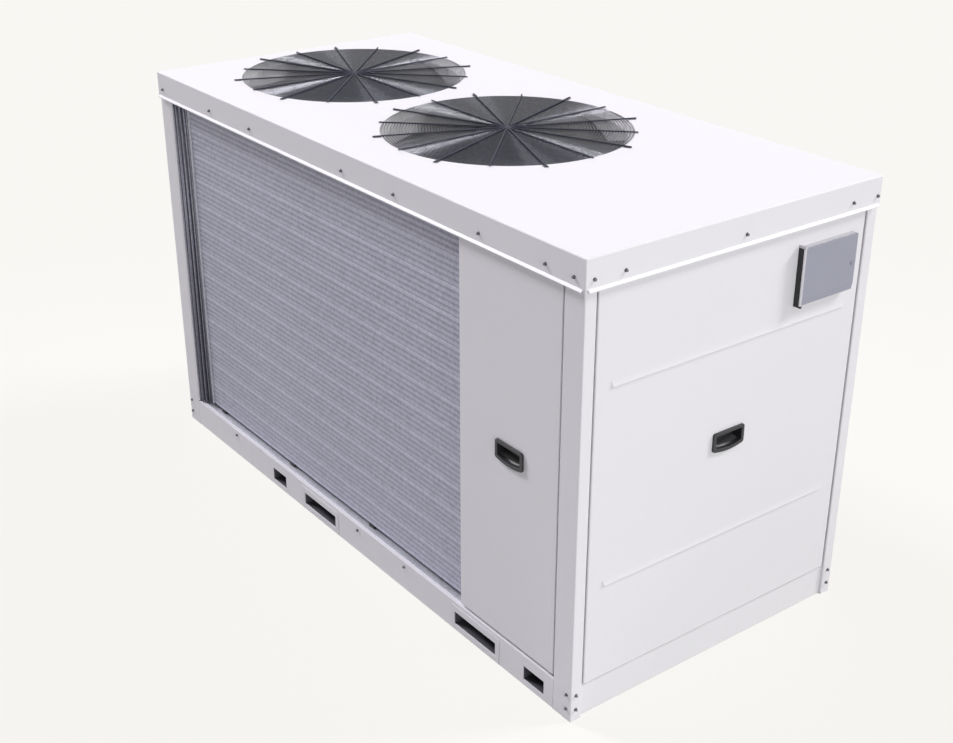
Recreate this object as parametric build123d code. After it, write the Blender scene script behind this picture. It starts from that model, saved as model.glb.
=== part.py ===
from build123d import *
import os
from math import cos, radians, sin

# Air source heat pump: a closed metal cabinet on a base frame, with a finned coil on
# each long side and two axial fans that blow up through the roof.
# Millimetres. X runs along the cabinet, Y across it and Z up from the floor. The front
# is the -Y side, and the machine compartment is at the +X end.

# Cabinet
CAP_LENGTH = 2530.0
CAP_WIDTH = 1186.0
UNIT_HEIGHT = 1500.0
CAP_SKIRT_HEIGHT = 90.0
CAP_SHEET = 2.5
DRIP_LIP = 7.0
DRIP_LIP_END_GAP = 10.0
FRAME_INSET = 5.0

# Corner posts
POST_LONG_FACE = 83.0
POST_END_FACE = 43.0
POST_RETURN = 25.0
POST_SHEET = 3.0

# Base frame
RAIL_HEIGHT = 112.0
RAIL_FLANGE = 45.0
RAIL_SHEET = 3.0
END_RAIL_INSET = 8.0
TRAY_SHEET = 2.5
TRAY_INSET = 15.0
TRAY_POST_GAP = 2.0

# Fork pockets and lifting holes, set evenly about the centre of gravity
BALANCE_FROM_POST = 883.0
FORK_SPACING = 968.0
FORK_SLOT_LENGTH = 222.0
FORK_SLOT_HEIGHT = 48.0
FORK_SLOT_BOTTOM = 26.0
FORK_PLATE_SIDE = 17.0
FORK_PLATE_UPPER = 24.0
FORK_PLATE_LOWER = 20.0
FORK_PLATE_SHEET = 2.0
TUBE_WALL = 3.0
SLEEVE_GAP = 1.0
LIFT_FROM_POST = 95.0
LIFT_SLOT_LENGTH = 100.0
LIFT_SLOT_HEIGHT = 50.0
LIFT_SLOT_BOTTOM = 23.0

# Panels
PANEL_SHEET = 2.0
PANEL_DEPTH = 20.0
PANEL_INSET = 2.0
PANEL_GAP = 8.0
PANEL_FOOT_GAP = 7.0
PANEL_FOOT_STEP = 8.0
FAN_BAY_LENGTH = 1877.0
CREASE_FROM_RAIL = 347.0
CREASE_FROM_TOP = 391.0
CREASE_END_GAP = 57.0
CREASE_END_SLOPE = 4.0
CREASE_RISE = 5.0
CREASE_WIDTH = 26.0
CREASE_UNDERCUT = 2.5

# Pull handles
HANDLE_WIDTH = 130.0
HANDLE_HEIGHT = 70.0
HANDLE_BOW = 9.0
HANDLE_PROUD = 7.0
HANDLE_RECESS = 34.0
HANDLE_RIM = 11.0
HANDLE_WALL = 2.5
HANDLE_CORNER = 8.0
HANDLE_ABOVE_RAIL = 671.0
FRONT_HANDLE_OFF_MIDDLE = 15.5
END_HANDLE_OFF_MIDDLE = 6.0

# Controller box and its cover
CONTROLLER_WIDTH = 228.0
CONTROLLER_HEIGHT = 182.0
CONTROLLER_FROM_POST = 178.0
CONTROLLER_BELOW_TOP = 247.0
CONTROLLER_DEPTH = 18.0
CONTROLLER_RECESS = 13.0
CONTROLLER_RIM = 12.0
COVER_SHEET = 7.0
COVER_GAP = 1.2
COVER_FOOT = 24.0
COVER_FOOT_SLOPE = 4.0
COVER_PIN_RADIUS = 2.0
COVER_BARREL_RADIUS = 4.2
COVER_PIN_GAP = 0.3
COVER_EAR = 6.0
LOCK_RADIUS = 7.0
LOCK_PROUD = 1.5
LOCK_FROM_EDGE = 16.0
KEYPAD_SIZE = (150.0, 110.0, 4.0)

# Coils
COIL_FACE_INSET = 30.0
COIL_DEPTH = 66.0
COIL_FROM_POST = 92.0
COIL_TOP_GAP = 6.0
TUBE_PITCH = 19.7
FIN_RIPPLE = 3.0
COIL_PLATE = 3.0
COIL_PLATE_PROUD = 6.0
PAD_HEIGHT = 14.0
PAD_LENGTH = 28.0
PAD_SPACING = 563.0
BAFFLE_SHEET = 2.0
BULKHEAD_SHEET = 2.0
INNER_GAP = 1.0

# Fans
FAN_FROM_POST = 400.0
FAN_SPACING = 952.0
DECK_HOLE_RADIUS = 427.0
RING_RADIUS = 405.0
RING_SHEET = 2.5
RING_DEPTH = 165.0
RING_FLANGE = 26.0
TIP_CLEARANCE = 7.0
GUARD_RODS = 16
GUARD_ROD_SIZE = 6.0
GUARD_LONG_REACH = 458.0
GUARD_SHORT_REACH = 438.0
GUARD_RINGS = 6
GUARD_RING_SIZE = 3.0
GUARD_OUTER_GAP = 5.0
GUARD_INNER_RING = 55.0
HUB_RADIUS = 118.0
HUB_HEIGHT = 92.0
HUB_CROWN = 12.0
BLADE_COUNT = 5
BLADE_CHORD_ROOT = 170.0
BLADE_CHORD_TIP = 255.0
BLADE_ROOT_ANGLE = 34.0
BLADE_TIP_ANGLE = 19.0
BLADE_SWEEP_ANGLE = 26.0
BLADE_MID_SWEEP_SHARE = 0.35
BLADE_THICKNESS = 5.0
BLADE_CAMBER_SHARE = 0.07
BLADE_CHORDS = 4
BLADE_ROOT_SHARE = 0.8
BLADE_OVERRUN_SHARE = 1.05
ROTOR_TOP_GAP = 18.0
SHAFT_RADIUS = 14.0
SHAFT_CLEARANCE = 0.3
SHAFT_END_GAP = 12.0
MOTOR_RADIUS = 92.0
MOTOR_HEIGHT = 96.0
MOTOR_TO_HUB = 8.0
BRACKET_WIDTH = 40.0
BRACKET_SHEET = 5.0
BRACKET_ARMS = 4

# Faces and levels that follow from the sizes above
FRAME_X = CAP_LENGTH / 2 - FRAME_INSET
FRAME_Y = CAP_WIDTH / 2 - FRAME_INSET
DECK_UNDERSIDE = UNIT_HEIGHT - CAP_SHEET
POST_INNER_X = FRAME_X - POST_LONG_FACE
POST_INNER_Y = FRAME_Y - POST_END_FACE
TRAY_TOP = RAIL_HEIGHT + TRAY_SHEET
MACHINE_BAY_X = FAN_BAY_LENGTH - POST_INNER_X
BALANCE_X = POST_INNER_X - BALANCE_FROM_POST
LIFT_SPACING = 2 * (POST_INNER_X - LIFT_FROM_POST - BALANCE_X)
PANEL_FACE_X = FRAME_X - PANEL_INSET
PANEL_FACE_Y = FRAME_Y - PANEL_INSET
PANEL_TOP = DECK_UNDERSIDE - INNER_GAP
END_PANEL_WIDTH = 2 * (POST_INNER_Y - PANEL_GAP)
CREASE_LENGTH = END_PANEL_WIDTH - 2 * CREASE_END_GAP
CREASE_HEIGHTS = (RAIL_HEIGHT + CREASE_FROM_RAIL, UNIT_HEIGHT - CREASE_FROM_TOP)
HANDLE_CENTRE_Z = RAIL_HEIGHT + HANDLE_ABOVE_RAIL
FRONT_PANEL_X = (MACHINE_BAY_X, POST_INNER_X - PANEL_GAP)
FRONT_HANDLE_X = sum(FRONT_PANEL_X) / 2 + FRONT_HANDLE_OFF_MIDDLE
CONTROLLER_CENTRE_Y = POST_INNER_Y - CONTROLLER_FROM_POST
CONTROLLER_CENTRE_Z = UNIT_HEIGHT - CONTROLLER_BELOW_TOP
COIL_FACE_Y = FRAME_Y - COIL_FACE_INSET
COIL_BACK_Y = COIL_FACE_Y - COIL_DEPTH
COIL_BOTTOM = TRAY_TOP + PAD_HEIGHT
TUBE_ROWS = int((DECK_UNDERSIDE - COIL_TOP_GAP - COIL_BOTTOM) / TUBE_PITCH)
COIL_HEIGHT = TUBE_PITCH * TUBE_ROWS
COIL_LEFT_X = COIL_FROM_POST - POST_INNER_X
COIL_RIGHT_X = MACHINE_BAY_X - COIL_PLATE
PAD_COUNT = 1 + int((COIL_RIGHT_X - COIL_LEFT_X - PAD_LENGTH) / PAD_SPACING)
FAN_LEFT_X = FAN_FROM_POST - POST_INNER_X
FAN_CENTRES_X = {"left": FAN_LEFT_X, "right": FAN_LEFT_X + FAN_SPACING}
RING_BOTTOM = DECK_UNDERSIDE - RING_DEPTH
BLADE_TIP_RADIUS = RING_RADIUS - TIP_CLEARANCE
HUB_TOP = UNIT_HEIGHT - ROTOR_TOP_GAP
HUB_BOTTOM = HUB_TOP - HUB_HEIGHT
CONTROLLER_FRONT_X = PANEL_FACE_X + CONTROLLER_DEPTH
COVER_BACK_X = CONTROLLER_FRONT_X + COVER_GAP
COVER_FRONT_X = COVER_BACK_X + COVER_SHEET
COVER_PIN_X = CONTROLLER_FRONT_X + COVER_PIN_GAP + COVER_BARREL_RADIUS
COVER_PIN_Y = CONTROLLER_CENTRE_Y - CONTROLLER_WIDTH / 2 - COVER_BARREL_RADIUS
LIP_REACH_X = CAP_LENGTH / 2 + DRIP_LIP

# The hinge of the controller's cover stands out past the roof's lip at one end only, so
# the whole part is moved by half of that, with the origin under the middle of its outline.
BODY_SHIFT = -(COVER_PIN_X + COVER_BARREL_RADIUS - LIP_REACH_X) / 2


def block(x_span, y_span, z_span):
    """A straight block between two limits on each axis, given in either order."""
    sizes = [abs(high - low) for low, high in (x_span, y_span, z_span)]
    centre = [(low + high) / 2 for low, high in (x_span, y_span, z_span)]
    return Pos(*centre) * Box(*sizes)


def centred(middle, size):
    """The two limits of a size that lies evenly about a middle."""
    return (middle - size / 2, middle + size / 2)


def mirror_y(shape):
    """The same piece on the other long side."""
    return mirror(shape, Plane.XZ)


def corner_post(sign_x, sign_y):
    """A folded angle with a return at each edge, which stands on the floor."""
    outline = Polyline(
        (POST_INNER_X, FRAME_Y - POST_RETURN),
        (POST_INNER_X, FRAME_Y),
        (FRAME_X, FRAME_Y),
        (FRAME_X, POST_INNER_Y),
        (FRAME_X - POST_RETURN, POST_INNER_Y),
        (FRAME_X - POST_RETURN, POST_INNER_Y + POST_SHEET),
        (FRAME_X - POST_SHEET, POST_INNER_Y + POST_SHEET),
        (FRAME_X - POST_SHEET, FRAME_Y - POST_SHEET),
        (POST_INNER_X + POST_SHEET, FRAME_Y - POST_SHEET),
        (POST_INNER_X + POST_SHEET, FRAME_Y - POST_RETURN),
        close=True,
    )
    post = extrude(make_face(outline), DECK_UNDERSIDE)
    if sign_x < 0:
        post = mirror(post, Plane.YZ)
    if sign_y < 0:
        post = mirror_y(post)
    return post


def channel_section(face, inward):
    """A channel's outline: web on the face, both flanges turned inward."""
    inner = face + inward * RAIL_FLANGE
    web = face + inward * RAIL_SHEET
    return Polyline(
        (inner, 0),
        (face, 0),
        (face, RAIL_HEIGHT),
        (inner, RAIL_HEIGHT),
        (inner, RAIL_HEIGHT - RAIL_SHEET),
        (web, RAIL_HEIGHT - RAIL_SHEET),
        (web, RAIL_SHEET),
        (inner, RAIL_SHEET),
        close=True,
    )


def fork_centres():
    """Where the two fork pockets lie along the base."""
    return centred(BALANCE_X, FORK_SPACING)


def lift_centres():
    """Where the two lifting holes lie along the base."""
    return centred(BALANCE_X, LIFT_SPACING)


def long_rail():
    """The front rail, with its cut-outs for the fork pockets and lifting holes."""
    section = make_face(channel_section(-FRAME_Y, 1))
    rail = extrude(Plane.YZ.offset(-POST_INNER_X) * section, 2 * POST_INNER_X)
    web = (-FRAME_Y - RAIL_SHEET, -FRAME_Y + 2 * RAIL_SHEET)
    sleeve = 2 * (TUBE_WALL + SLEEVE_GAP)
    for x in fork_centres():
        rail -= block(
            centred(x, FORK_SLOT_LENGTH + sleeve),
            web,
            centred(FORK_SLOT_BOTTOM + FORK_SLOT_HEIGHT / 2, FORK_SLOT_HEIGHT + sleeve),
        )
    for x in lift_centres():
        rail -= block(
            centred(x, LIFT_SLOT_LENGTH),
            web,
            (LIFT_SLOT_BOTTOM, LIFT_SLOT_BOTTOM + LIFT_SLOT_HEIGHT),
        )
    return rail


def end_rail(sign_x):
    """A plain channel across one end, between the posts."""
    face = sign_x * (FRAME_X - END_RAIL_INSET)
    section = make_face(channel_section(face, -sign_x))
    return extrude(Plane.XZ.offset(-POST_INNER_Y) * section, 2 * POST_INNER_Y)


def square_tube(x, length, height, bottom, half_run):
    """A rectangular tube that runs across the base from -half_run to half_run."""
    middle_z = bottom + height / 2
    run = (-half_run, half_run)
    outer = block(
        centred(x, length + 2 * TUBE_WALL), run, centred(middle_z, height + 2 * TUBE_WALL)
    )
    return outer - block(centred(x, length), run, centred(middle_z, height))


def fork_pocket(x):
    """A sleeve for one fork, with a plate round its mouth on each long side."""
    sleeve = square_tube(x, FORK_SLOT_LENGTH, FORK_SLOT_HEIGHT, FORK_SLOT_BOTTOM, FRAME_Y)
    slot_top = FORK_SLOT_BOTTOM + FORK_SLOT_HEIGHT
    plate_x = centred(x, FORK_SLOT_LENGTH + 2 * FORK_PLATE_SIDE)
    plate_z = (FORK_SLOT_BOTTOM - FORK_PLATE_LOWER, slot_top + FORK_PLATE_UPPER)
    for side in (-1, 1):
        plate_y = (side * FRAME_Y, side * (FRAME_Y + FORK_PLATE_SHEET))
        plate = block(plate_x, plate_y, plate_z)
        plate -= block(centred(x, FORK_SLOT_LENGTH), plate_y, (FORK_SLOT_BOTTOM, slot_top))
        sleeve += plate
    return sleeve


def lifting_tube(x):
    """A tube for a lifting bar, held between the two long rails."""
    run = FRAME_Y - RAIL_SHEET
    return square_tube(x, LIFT_SLOT_LENGTH, LIFT_SLOT_HEIGHT, LIFT_SLOT_BOTTOM, run)


def base_tray():
    """The floor sheet that lies on the rails, notched round the posts."""
    long_x = POST_INNER_X - TRAY_POST_GAP
    long_y = FRAME_Y - TRAY_INSET
    end_x = FRAME_X - END_RAIL_INSET - TRAY_INSET
    end_y = POST_INNER_Y - TRAY_POST_GAP
    levels = (RAIL_HEIGHT, TRAY_TOP)
    tray = block((-long_x, long_x), (-long_y, long_y), levels)
    return tray + block((-end_x, end_x), (-end_y, end_y), levels)


def roof_cap():
    """The roof sheet with its fan openings, its skirt and the drip lips below it."""
    half_x = CAP_LENGTH / 2
    half_y = CAP_WIDTH / 2
    foot = UNIT_HEIGHT - CAP_SKIRT_HEIGHT
    cap = block((-half_x, half_x), (-half_y, half_y), (foot, UNIT_HEIGHT))
    cap -= block(
        (CAP_SHEET - half_x, half_x - CAP_SHEET),
        (CAP_SHEET - half_y, half_y - CAP_SHEET),
        (foot, DECK_UNDERSIDE),
    )
    for x in FAN_CENTRES_X.values():
        hole = Cylinder(DECK_HOLE_RADIUS, CAP_SHEET)
        cap -= Pos(x, 0, UNIT_HEIGHT - CAP_SHEET / 2) * hole
    for half_run, reach, turn in ((half_x, half_y, 0), (half_y, half_x, 90)):
        lip = drip_lip(reach, half_run - DRIP_LIP_END_GAP, foot)
        cap += Rot(0, 0, turn) * lip
        cap += Rot(0, 0, turn + 180) * lip
    return cap


def drip_lip(face, half_run, foot):
    """A lip that flares out at 45 degrees from the foot of the skirt on one side."""
    outline = Polyline(
        (-face, foot),
        (-face, foot + CAP_SHEET),
        (-face - DRIP_LIP, foot + CAP_SHEET - DRIP_LIP),
        (-face - DRIP_LIP, foot - DRIP_LIP),
        (-face + CAP_SHEET, foot + CAP_SHEET),
        (-face + CAP_SHEET, foot + 2 * CAP_SHEET),
        (-face, foot + 2 * CAP_SHEET),
        close=True,
    )
    return extrude(Plane.YZ.offset(-half_run) * make_face(outline), 2 * half_run)


def pan_section(height, inset):
    """A pan seen from its side, drawn inside its sheet by an inset, with a foot stepped back."""
    top = height / 2 - inset
    foot = inset - height / 2
    outline = Polyline(
        (foot + PANEL_FOOT_GAP, -inset),
        (top, -inset),
        (top, -PANEL_DEPTH),
        (foot, -PANEL_DEPTH),
        (foot, -PANEL_FOOT_STEP - inset),
        (foot + PANEL_FOOT_GAP, -PANEL_FOOT_STEP - inset),
        close=True,
    )
    return make_face(outline)


def pan(width, height):
    """A pan of folded sheet: face at z = 0, folded edges down to -PANEL_DEPTH."""
    shell = extrude(Plane.YZ.offset(-width / 2) * pan_section(height, 0), width)
    inner_width = width - 2 * PANEL_SHEET
    hollow = Plane.YZ.offset(-inner_width / 2) * pan_section(height, PANEL_SHEET)
    return shell - extrude(hollow, inner_width)


def handle_outline(shrink):
    """The handle's outline, with a bowed lower edge."""
    half_w = HANDLE_WIDTH / 2 - shrink
    half_h = HANDLE_HEIGHT / 2 - shrink
    low_left = (-half_w, -half_h + HANDLE_BOW)
    low_right = (half_w, -half_h + HANDLE_BOW)
    top = Polyline(low_right, (half_w, half_h), (-half_w, half_h), low_left)
    foot = ThreePointArc(low_left, (0, -half_h), low_right)
    return make_face([*top.edges(), foot])


def pull_handle():
    """A recessed pull handle: rim at the front, a pocket behind it to pull against."""
    front = handle_outline(0)
    rim = extrude(fillet(front.vertices(), HANDLE_CORNER), HANDLE_PROUD)
    pocket = extrude(handle_outline(HANDLE_RIM - HANDLE_WALL), -HANDLE_RECESS)
    hollow_depth = HANDLE_RECESS - HANDLE_WALL
    hollow = extrude(handle_outline(HANDLE_RIM), HANDLE_PROUD)
    hollow += extrude(handle_outline(HANDLE_RIM), -hollow_depth)
    return rim + pocket - hollow


def handle_hole():
    """What a panel loses where a handle's pocket goes through it."""
    return extrude(handle_outline(HANDLE_RIM - HANDLE_WALL - SLEEVE_GAP), -HANDLE_RECESS)


def on_front(x, z):
    """A plane on the front panel's face, looking out, with its X to the right."""
    return Plane(origin=(x, -PANEL_FACE_Y, z), x_dir=(1, 0, 0), z_dir=(0, -1, 0))


def on_end(sign_x, y, z):
    """A plane on an end panel's face, looking out."""
    return Plane(origin=(sign_x * PANEL_FACE_X, y, z), x_dir=(0, sign_x, 0), z_dir=(sign_x, 0, 0))


def front_panel():
    """The blank panel over the machine compartment."""
    width = FRONT_PANEL_X[1] - FRONT_PANEL_X[0]
    height = PANEL_TOP - TRAY_TOP
    middle_z = (PANEL_TOP + TRAY_TOP) / 2
    panel = on_front(sum(FRONT_PANEL_X) / 2, middle_z).location * pan(width, height)
    return panel - on_front(FRONT_HANDLE_X, HANDLE_CENTRE_Z).location * handle_hole()


def crease():
    """A ridge pressed across a panel: a gentle slope above, a steep one below, on z = 0."""
    foot = Rectangle(CREASE_LENGTH, CREASE_WIDTH)
    ridge_y = (PANEL_SHEET - CREASE_WIDTH) / 2 + CREASE_UNDERCUT
    ridge = Rectangle(CREASE_LENGTH - 2 * CREASE_END_SLOPE, PANEL_SHEET)
    return loft([foot.face(), (Pos(0, ridge_y, CREASE_RISE) * ridge).face()], ruled=True)


def end_panel(sign_x):
    """The panel that closes one end, with two creases pressed across it."""
    height = PANEL_TOP - RAIL_HEIGHT
    middle_z = (PANEL_TOP + RAIL_HEIGHT) / 2
    panel = on_end(sign_x, 0, middle_z).location * pan(END_PANEL_WIDTH, height)
    for z in CREASE_HEIGHTS:
        panel += on_end(sign_x, 0, z).location * crease()
    return panel - on_end(sign_x, END_HANDLE_OFF_MIDDLE, HANDLE_CENTRE_Z).location * handle_hole()


def controller_box():
    """The shallow box for the controller, with ears that hold the cover's pin."""
    y_span = centred(CONTROLLER_CENTRE_Y, CONTROLLER_WIDTH)
    z_span = centred(CONTROLLER_CENTRE_Z, CONTROLLER_HEIGHT)
    box = block((PANEL_FACE_X, CONTROLLER_FRONT_X), y_span, z_span)
    box -= block(
        (CONTROLLER_FRONT_X - CONTROLLER_RECESS, CONTROLLER_FRONT_X),
        centred(CONTROLLER_CENTRE_Y, CONTROLLER_WIDTH - 2 * CONTROLLER_RIM),
        centred(CONTROLLER_CENTRE_Z, CONTROLLER_HEIGHT - 2 * CONTROLLER_RIM),
    )
    reach = COVER_BARREL_RADIUS
    pin_length = CONTROLLER_HEIGHT + 2 * (COVER_PIN_GAP + COVER_EAR)
    leaf_z = centred(CONTROLLER_CENTRE_Z, pin_length)
    leaf_y = (COVER_PIN_Y - reach, y_span[0])
    box += block((PANEL_FACE_X, CONTROLLER_FRONT_X), leaf_y, leaf_z)
    for z, inner_z in ((leaf_z[0], leaf_z[0] + COVER_EAR), (leaf_z[1], leaf_z[1] - COVER_EAR)):
        ear_x = (CONTROLLER_FRONT_X, COVER_PIN_X + reach)
        box += block(ear_x, centred(COVER_PIN_Y, 2 * reach), (z, inner_z))
    pin = Cylinder(COVER_PIN_RADIUS, pin_length)
    return box + Pos(COVER_PIN_X, COVER_PIN_Y, CONTROLLER_CENTRE_Z) * pin


def controller_cover():
    """The hinged cover: a plate whose foot slopes back, with a barrel and a lock."""
    y_span = (COVER_PIN_Y, CONTROLLER_CENTRE_Y + CONTROLLER_WIDTH / 2)
    z_low, z_high = centred(CONTROLLER_CENTRE_Z, CONTROLLER_HEIGHT)
    outline = Polyline(
        (COVER_BACK_X, z_low),
        (COVER_FRONT_X - COVER_FOOT_SLOPE, z_low),
        (COVER_FRONT_X, z_low + COVER_FOOT),
        (COVER_FRONT_X, z_high),
        (COVER_BACK_X, z_high),
        close=True,
    )
    cover = extrude(Plane.XZ.offset(-y_span[0]) * make_face(outline), y_span[0] - y_span[1])
    hinge = Pos(COVER_PIN_X, COVER_PIN_Y, CONTROLLER_CENTRE_Z)
    cover += hinge * Cylinder(COVER_BARREL_RADIUS, CONTROLLER_HEIGHT)
    lock = Rot(0, 90, 0) * Cylinder(LOCK_RADIUS, LOCK_PROUD)
    lock_x = COVER_FRONT_X + LOCK_PROUD / 2
    cover += Pos(lock_x, y_span[1] - LOCK_FROM_EDGE, CONTROLLER_CENTRE_Z) * lock
    return cover - hinge * Cylinder(COVER_PIN_RADIUS + COVER_PIN_GAP, CONTROLLER_HEIGHT)


def controller_keypad():
    """The blank plate with the display, at the bottom of the controller box."""
    width, height, thickness = KEYPAD_SIZE
    floor_x = CONTROLLER_FRONT_X - CONTROLLER_RECESS
    return block(
        (floor_x, floor_x + thickness),
        centred(CONTROLLER_CENTRE_Y, width),
        centred(CONTROLLER_CENTRE_Z, height),
    )


def coil_block():
    """The fin pack of the front coil, its face rippled where each tube row lies."""
    points = []
    for row in range(TUBE_ROWS):
        low = COIL_BOTTOM + row * TUBE_PITCH
        points.append((-COIL_FACE_Y + FIN_RIPPLE, low))
        points.append((-COIL_FACE_Y, low + TUBE_PITCH / 2))
    top = COIL_BOTTOM + COIL_HEIGHT
    points.append((-COIL_FACE_Y + FIN_RIPPLE, top))
    points.append((-COIL_BACK_Y, top))
    points.append((-COIL_BACK_Y, COIL_BOTTOM))
    section = make_face(Polyline(*points, close=True))
    return extrude(Plane.YZ.offset(COIL_LEFT_X) * section, COIL_RIGHT_X - COIL_LEFT_X)


def coil_end_plates():
    """The tube plates at the two ends of the front coil."""
    y_span = (-COIL_FACE_Y - COIL_PLATE_PROUD, -COIL_BACK_Y + COIL_PLATE_PROUD)
    z_span = (COIL_BOTTOM, COIL_BOTTOM + COIL_HEIGHT)
    left = block((COIL_LEFT_X - COIL_PLATE, COIL_LEFT_X), y_span, z_span)
    right = block((COIL_RIGHT_X, COIL_RIGHT_X + COIL_PLATE), y_span, z_span)
    return Compound([left, right])


def coil_pads():
    """The pads that carry the front coil clear of the tray."""
    pads = []
    for index in range(PAD_COUNT):
        x = COIL_RIGHT_X - PAD_LENGTH / 2 - index * PAD_SPACING
        pads.append(
            block(centred(x, PAD_LENGTH), (-COIL_FACE_Y, -COIL_BACK_Y), (TRAY_TOP, COIL_BOTTOM))
        )
    return Compound(pads)


def coil_baffle():
    """The sheet that closes the gap between the front coil and the left post."""
    return block(
        (-POST_INNER_X - POST_SHEET, COIL_LEFT_X - COIL_PLATE),
        (-COIL_BACK_Y, -COIL_BACK_Y + BAFFLE_SHEET),
        (TRAY_TOP, DECK_UNDERSIDE),
    )


def bulkhead():
    """The wall between the fan chamber and the machine compartment."""
    half_y = PANEL_FACE_Y - PANEL_DEPTH - INNER_GAP
    left = MACHINE_BAY_X + INNER_GAP
    return block((left, left + BULKHEAD_SHEET), (-half_y, half_y), (TRAY_TOP, DECK_UNDERSIDE))


def fan_ring():
    """The inlet ring under a fan opening: a flared mouth on a straight barrel."""
    outer = RING_RADIUS + RING_SHEET
    flare = DECK_HOLE_RADIUS - RING_RADIUS
    flange_foot = DECK_UNDERSIDE - RING_SHEET
    outline = Polyline(
        (DECK_HOLE_RADIUS, DECK_UNDERSIDE),
        (DECK_HOLE_RADIUS + RING_FLANGE, DECK_UNDERSIDE),
        (DECK_HOLE_RADIUS + RING_FLANGE, flange_foot),
        (DECK_HOLE_RADIUS + RING_SHEET, flange_foot),
        (outer, flange_foot - flare),
        (outer, RING_BOTTOM),
        (RING_RADIUS, RING_BOTTOM),
        (RING_RADIUS, flange_foot - flare),
        close=True,
    )
    return revolve(Plane.XZ * make_face(outline), Axis.Z)


def polygon_ring(radius, size, bottom):
    """A guard ring of square wire, with straight sides between the rods."""
    outer = RegularPolygon(radius + size / 2, GUARD_RODS)
    inner = RegularPolygon(radius - size / 2, GUARD_RODS)
    return Pos(0, 0, bottom) * extrude(outer - inner, size)


def fan_guard():
    """The guard over a fan opening: rings of wire hung under rods that meet in the middle."""
    rod_bottom = UNIT_HEIGHT
    guard = None
    for index in range(GUARD_RODS):
        reach = GUARD_LONG_REACH if index % 2 else GUARD_SHORT_REACH
        rod = block((0, reach), centred(0, GUARD_ROD_SIZE), (rod_bottom, rod_bottom + GUARD_ROD_SIZE))
        rod = Rot(0, 0, index * 360 / GUARD_RODS) * rod
        guard = rod if guard is None else guard + rod
    outer_ring = DECK_HOLE_RADIUS - GUARD_OUTER_GAP
    step = (outer_ring - GUARD_INNER_RING) / (GUARD_RINGS - 1)
    for index in range(GUARD_RINGS):
        radius = GUARD_INNER_RING + index * step
        guard += polygon_ring(radius, GUARD_RING_SIZE, rod_bottom - GUARD_RING_SIZE)
    return guard


def blade_section(chord):
    """A blade's section, cambered to a parabola and drawn with a few chords."""
    half = chord / 2
    camber = []
    for index in range(BLADE_CHORDS + 1):
        share = index / BLADE_CHORDS
        camber.append((chord * share - half, 4 * BLADE_CAMBER_SHARE * chord * share * (1 - share)))
    upper = [(x, y + BLADE_THICKNESS) for x, y in reversed(camber)]
    return make_face(Polyline(*camber, *upper, close=True))


def blade():
    """One fan blade: cambered, twisted and swept forward towards its tip."""
    stations = (
        (HUB_RADIUS * BLADE_ROOT_SHARE, BLADE_CHORD_ROOT, BLADE_ROOT_ANGLE, 0.0),
        (
            (HUB_RADIUS + BLADE_TIP_RADIUS) / 2,
            (BLADE_CHORD_ROOT + BLADE_CHORD_TIP) / 2,
            (BLADE_ROOT_ANGLE + BLADE_TIP_ANGLE) / 2,
            BLADE_SWEEP_ANGLE * BLADE_MID_SWEEP_SHARE,
        ),
        (
            BLADE_TIP_RADIUS * BLADE_OVERRUN_SHARE,
            BLADE_CHORD_TIP,
            BLADE_TIP_ANGLE,
            BLADE_SWEEP_ANGLE,
        ),
    )
    sections = []
    for radius, chord, pitch, sweep in stations:
        turn = radians(sweep)
        outward = (cos(turn), sin(turn), 0)
        lean = radians(pitch)
        along = (-sin(turn) * cos(lean), cos(turn) * cos(lean), sin(lean))
        origin = (radius * cos(turn), radius * sin(turn), 0)
        plane = Plane(origin=origin, x_dir=along, z_dir=outward)
        sections.append(plane * blade_section(chord))
    return loft(sections, ruled=True)


def fan_rotor():
    """The hub with its blades, bored for the motor's shaft."""
    middle = (HUB_TOP + HUB_BOTTOM) / 2
    rotor = Pos(0, 0, middle) * Cylinder(HUB_RADIUS, HUB_HEIGHT)
    rotor = chamfer(rotor.edges().group_by(Axis.Z)[-1], HUB_CROWN)
    tip = Pos(0, 0, middle) * Cylinder(BLADE_TIP_RADIUS, BLADE_CHORD_TIP)
    one = Pos(0, 0, middle) * blade() & tip
    for index in range(BLADE_COUNT):
        rotor += Rot(0, 0, index * 360 / BLADE_COUNT) * one
    bore_top = HUB_TOP - SHAFT_END_GAP
    bore_depth = bore_top - HUB_BOTTOM
    bore = Cylinder(SHAFT_RADIUS + SHAFT_CLEARANCE, bore_depth)
    return rotor - Pos(0, 0, HUB_BOTTOM + bore_depth / 2) * bore


def fan_motor():
    """The motor under the hub, with its shaft standing up into the bore."""
    top = HUB_BOTTOM - MOTOR_TO_HUB
    body = Pos(0, 0, top - MOTOR_HEIGHT / 2) * Cylinder(MOTOR_RADIUS, MOTOR_HEIGHT)
    shaft_top = HUB_TOP - SHAFT_END_GAP - SHAFT_CLEARANCE
    shaft = Cylinder(SHAFT_RADIUS, shaft_top - top)
    return body + Pos(0, 0, (shaft_top + top) / 2) * shaft


def motor_bracket():
    """Arms from the ring's foot to the motor, which stands on their middle."""
    foot = HUB_BOTTOM - MOTOR_TO_HUB - MOTOR_HEIGHT
    reach = RING_RADIUS + RING_SHEET
    middle_z = foot - BRACKET_SHEET / 2
    bracket = Pos(0, 0, middle_z) * Box(2 * MOTOR_RADIUS, 2 * MOTOR_RADIUS, BRACKET_SHEET)
    post_x = (reach - RING_SHEET, reach + BRACKET_SHEET)
    for index in range(BRACKET_ARMS):
        arm = block((0, post_x[1]), centred(0, BRACKET_WIDTH), (foot - BRACKET_SHEET, foot))
        arm += block(post_x, centred(0, BRACKET_WIDTH), (foot - BRACKET_SHEET, RING_BOTTOM))
        bracket += Rot(0, 0, index * 360 / BRACKET_ARMS) * arm
    return bracket


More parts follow.
